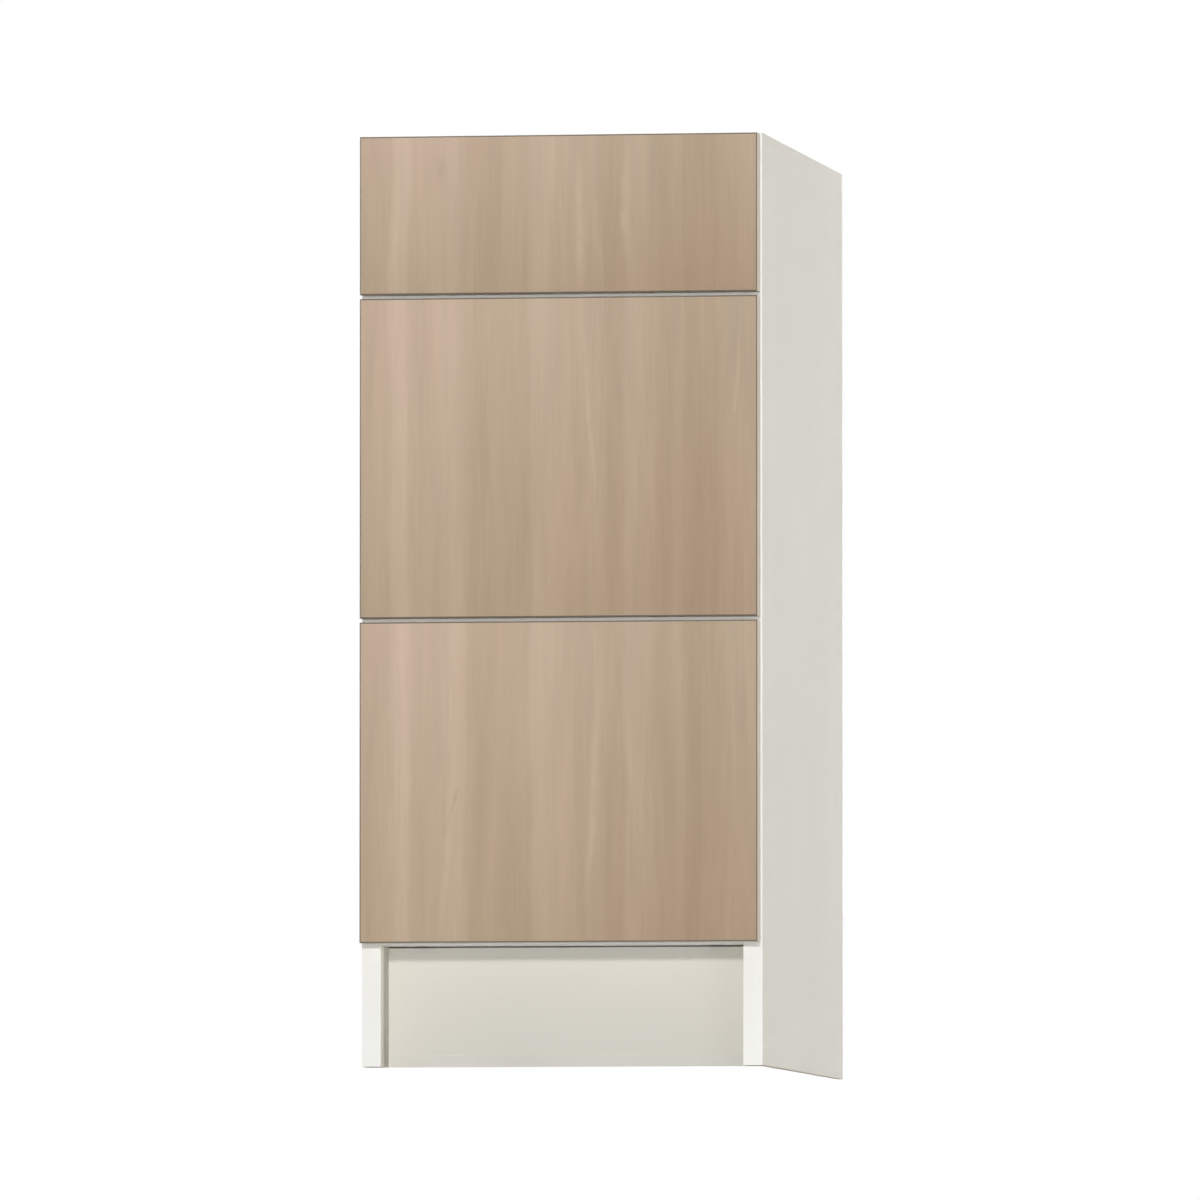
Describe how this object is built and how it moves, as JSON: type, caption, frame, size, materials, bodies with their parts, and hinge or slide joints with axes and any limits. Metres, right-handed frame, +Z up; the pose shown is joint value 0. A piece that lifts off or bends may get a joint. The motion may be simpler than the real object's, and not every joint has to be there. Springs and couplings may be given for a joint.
{
  "type": "drawer base cabinet",
  "caption": "Tall narrow base cabinet on full-height gables with handleless wood-decor drawers on full-extension runners and a recessed plinth.",
  "frame": {"origin": "centre of the footprint on the floor, under the whole cabinet with its fronts", "axes": "+Z up, the drawer fronts face -Y, +X to the right of someone who looks at the fronts"},
  "size_m": [0.4, 0.582, 0.92],
  "materials": {
    "gable_board": "white melamine board, satin",
    "carcass_board": "white melamine board, satin",
    "carcass_edge": "white edge band",
    "back_board": "white lacquered fibreboard",
    "plinth_board": "white melamine board, satin",
    "plinth_seal": "soft clip-on strip",
    "front_decor": "matt wood decor, upright grain",
    "front_edge": "edge band in the darker tone of the decor",
    "drawer_side": "silver grey powder coat",
    "drawer_board": "silver grey melamine board",
    "gallery_rail": "silver grey powder coat",
    "runner_steel": "galvanised sheet",
    "bracket_steel": "galvanised sheet",
    "latch_case": "moulded, fine grain",
    "foot_plastic": "moulded, fine grain",
    "bracket_plastic": "moulded, fine grain",
    "fitting_zinc": "zinc die-casting",
    "screw_zinc": "zinc plated",
    "dowel_beech": "raw beech"
  },
  "bodies": {
    "carcass": {"left_gable": "gable_board", "right_gable": "gable_board", "carcass_edging": "carcass_edge", "bottom_panel": "carcass_board", "back_panel": "back_board", "front_top_rail": "carcass_board", "rear_top_rail": "carcass_board", "cross_rails": "carcass_board", "rear_tie_rail": "carcass_board", "plinth_board": "plinth_board", "plinth_seal": "plinth_seal", "cam_fittings": "fitting_zinc", "wood_dowels": "dowel_beech", "leveller_brackets": "bracket_plastic", "runner_screws": "screw_zinc", "upper_cabinet_rails": "runner_steel", "centre_cabinet_rails": "runner_steel", "lower_cabinet_rails": "runner_steel"},
    "levelling_foot_front_left": {"levelling_foot_front_left": "foot_plastic"},
    "levelling_foot_front_right": {"levelling_foot_front_right": "foot_plastic"},
    "levelling_foot_rear_left": {"levelling_foot_rear_left": "foot_plastic"},
    "levelling_foot_rear_right": {"levelling_foot_rear_right": "foot_plastic"},
    "upper_drawer": {"upper_front": "front_decor", "upper_front_edging": "front_edge", "upper_side_left": "drawer_side", "upper_side_right": "drawer_side", "upper_base": "drawer_board", "upper_back": "drawer_board", "upper_front_brackets": "bracket_steel", "upper_rear_brackets": "bracket_steel", "upper_slide_rails": "runner_steel", "upper_push_latches": "latch_case"},
    "upper_carrier_left": {"upper_carrier_left": "runner_steel"},
    "upper_carrier_right": {"upper_carrier_right": "runner_steel"},
    "centre_drawer": {"centre_front": "front_decor", "centre_front_edging": "front_edge", "centre_side_left": "drawer_side", "centre_side_right": "drawer_side", "centre_base": "drawer_board", "centre_back": "drawer_board", "centre_front_brackets": "bracket_steel", "centre_rear_brackets": "bracket_steel", "centre_slide_rails": "runner_steel", "centre_push_latches": "latch_case", "centre_gallery_rails": "gallery_rail"},
    "centre_carrier_left": {"centre_carrier_left": "runner_steel"},
    "centre_carrier_right": {"centre_carrier_right": "runner_steel"},
    "lower_drawer": {"lower_front": "front_decor", "lower_front_edging": "front_edge", "lower_side_left": "drawer_side", "lower_side_right": "drawer_side", "lower_base": "drawer_board", "lower_back": "drawer_board", "lower_front_brackets": "bracket_steel", "lower_rear_brackets": "bracket_steel", "lower_slide_rails": "runner_steel", "lower_push_latches": "latch_case", "lower_gallery_rails": "gallery_rail"},
    "lower_carrier_left": {"lower_carrier_left": "runner_steel"},
    "lower_carrier_right": {"lower_carrier_right": "runner_steel"}
  },
  "joints": [
    {"name": "front_left_foot_height", "type": "slide", "parent": "carcass", "child": "levelling_foot_front_left", "axis": [0, 0, -1], "range_m": [0, 0.015]},
    {"name": "front_right_foot_height", "type": "slide", "parent": "carcass", "child": "levelling_foot_front_right", "axis": [0, 0, -1], "range_m": [0, 0.015]},
    {"name": "rear_left_foot_height", "type": "slide", "parent": "carcass", "child": "levelling_foot_rear_left", "axis": [0, 0, -1], "range_m": [0, 0.015]},
    {"name": "rear_right_foot_height", "type": "slide", "parent": "carcass", "child": "levelling_foot_rear_right", "axis": [0, 0, -1], "range_m": [0, 0.015]},
    {"name": "upper_drawer_slide", "type": "slide", "parent": "carcass", "child": "upper_drawer", "axis": [0, -1, 0], "range_m": [-0.0025, 0.48]},
    {"name": "upper_left_carrier_slide", "type": "slide", "parent": "carcass", "child": "upper_carrier_left", "axis": [0, -1, 0], "range_m": [-0.00125, 0.24]},
    {"name": "upper_right_carrier_slide", "type": "slide", "parent": "carcass", "child": "upper_carrier_right", "axis": [0, -1, 0], "range_m": [-0.00125, 0.24]},
    {"name": "centre_drawer_slide", "type": "slide", "parent": "carcass", "child": "centre_drawer", "axis": [0, -1, 0], "range_m": [-0.0025, 0.48]},
    {"name": "centre_left_carrier_slide", "type": "slide", "parent": "carcass", "child": "centre_carrier_left", "axis": [0, -1, 0], "range_m": [-0.00125, 0.24]},
    {"name": "centre_right_carrier_slide", "type": "slide", "parent": "carcass", "child": "centre_carrier_right", "axis": [0, -1, 0], "range_m": [-0.00125, 0.24]},
    {"name": "lower_drawer_slide", "type": "slide", "parent": "carcass", "child": "lower_drawer", "axis": [0, -1, 0], "range_m": [-0.0025, 0.48]},
    {"name": "lower_left_carrier_slide", "type": "slide", "parent": "carcass", "child": "lower_carrier_left", "axis": [0, -1, 0], "range_m": [-0.00125, 0.24]},
    {"name": "lower_right_carrier_slide", "type": "slide", "parent": "carcass", "child": "lower_carrier_right", "axis": [0, -1, 0], "range_m": [-0.00125, 0.24]}
  ],
  "couplings": [
    {"joint": "upper_left_carrier_slide", "follows": "upper_drawer_slide", "ratio": 0.5},
    {"joint": "upper_right_carrier_slide", "follows": "upper_drawer_slide", "ratio": 0.5},
    {"joint": "centre_left_carrier_slide", "follows": "centre_drawer_slide", "ratio": 0.5},
    {"joint": "centre_right_carrier_slide", "follows": "centre_drawer_slide", "ratio": 0.5},
    {"joint": "lower_left_carrier_slide", "follows": "lower_drawer_slide", "ratio": 0.5},
    {"joint": "lower_right_carrier_slide", "follows": "lower_drawer_slide", "ratio": 0.5}
  ]
}
